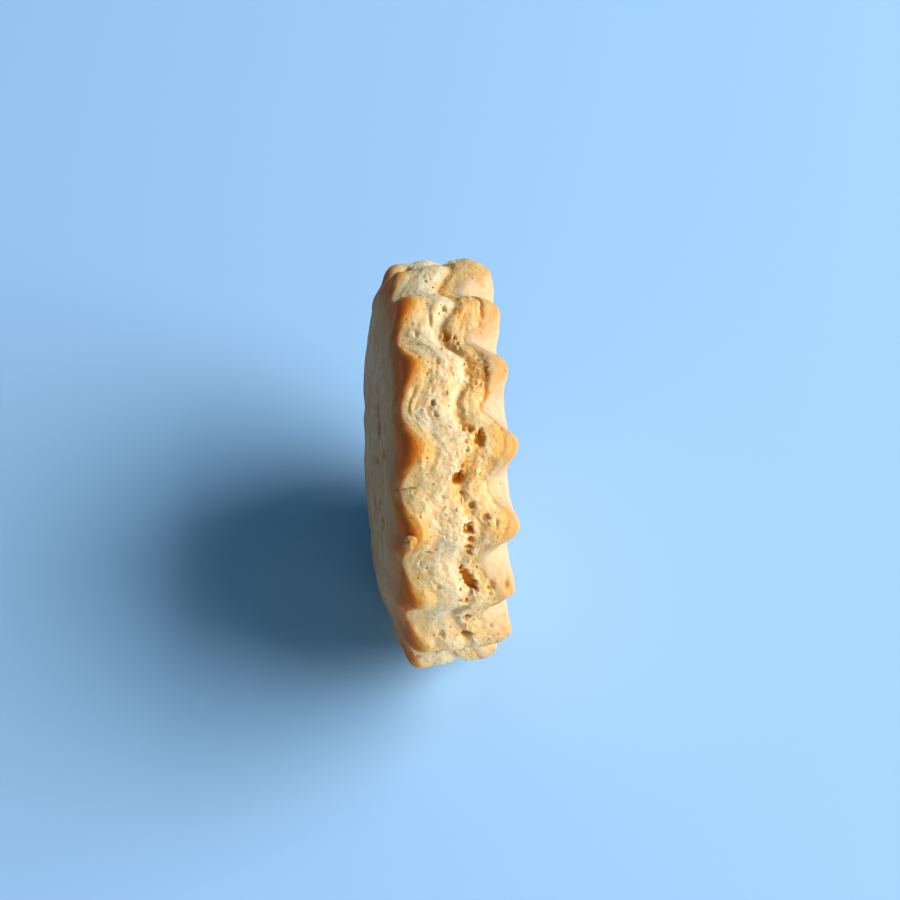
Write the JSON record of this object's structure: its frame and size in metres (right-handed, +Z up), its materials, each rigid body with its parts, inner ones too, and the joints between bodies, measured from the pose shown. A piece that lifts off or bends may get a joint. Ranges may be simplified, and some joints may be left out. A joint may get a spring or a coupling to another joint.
{
  "type": "starch biscuit",
  "caption": "Thick round starch biscuit with a deeply fluted rim, a flaky split along the rim and browned edges, standing on its edge.",
  "frame": {"origin": "on the ground, under the middle of the biscuit's box", "axes": "+Z up, +X along the biscuit's round axis towards its flatter face, +Y away from the viewer along the ground"},
  "size_m": [0.0162, 0.0515, 0.0509],
  "materials": {
    "baked_dough": "dry baked crumb, pale in the middle of the rim and browned along its ridges"
  },
  "bodies": {
    "root": {"biscuit": "baked_dough"}
  },
  "joints": []
}
